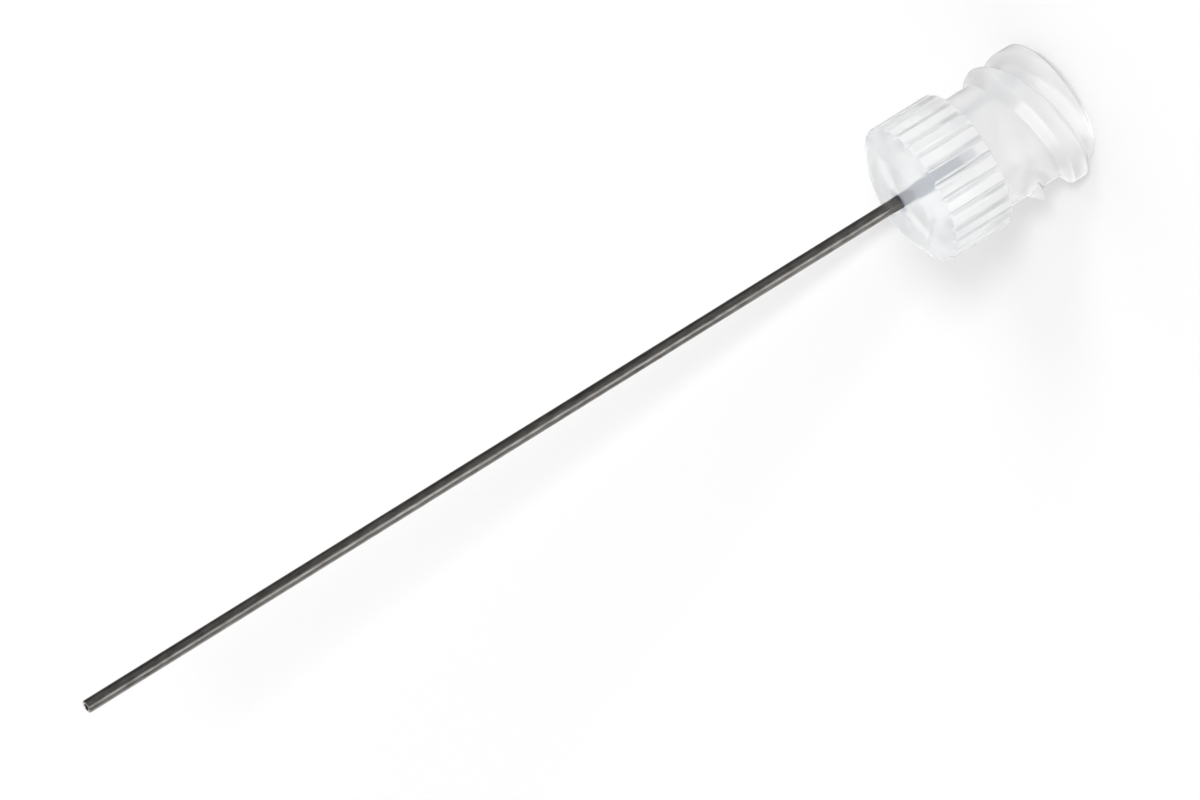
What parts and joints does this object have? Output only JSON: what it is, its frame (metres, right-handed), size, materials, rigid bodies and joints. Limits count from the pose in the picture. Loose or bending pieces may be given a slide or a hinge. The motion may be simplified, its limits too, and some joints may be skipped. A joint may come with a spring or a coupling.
{
  "type": "dispensing needle tip",
  "caption": "Blunt dispensing needle tip with a clear moulded luer-lock hub, fluted grip, coarse locking thread and a long straight steel cannula.",
  "frame": {"origin": "centre of the hub's mouth, on the plane that the mouth stands on", "axes": "+Z runs along the hub and the tube towards the open tip; the mouth that fits on a syringe faces -Z; +X and +Y are square to the tube, and the first thread's upper end is at a bearing of 220 degrees from +X"},
  "size_m": [0.008, 0.008, 0.0623],
  "materials": {
    "clear_plastic": "gloss",
    "stainless_steel": "satin"
  },
  "bodies": {
    "root": {"hub": "clear_plastic", "cannula": "stainless_steel"}
  },
  "joints": []
}
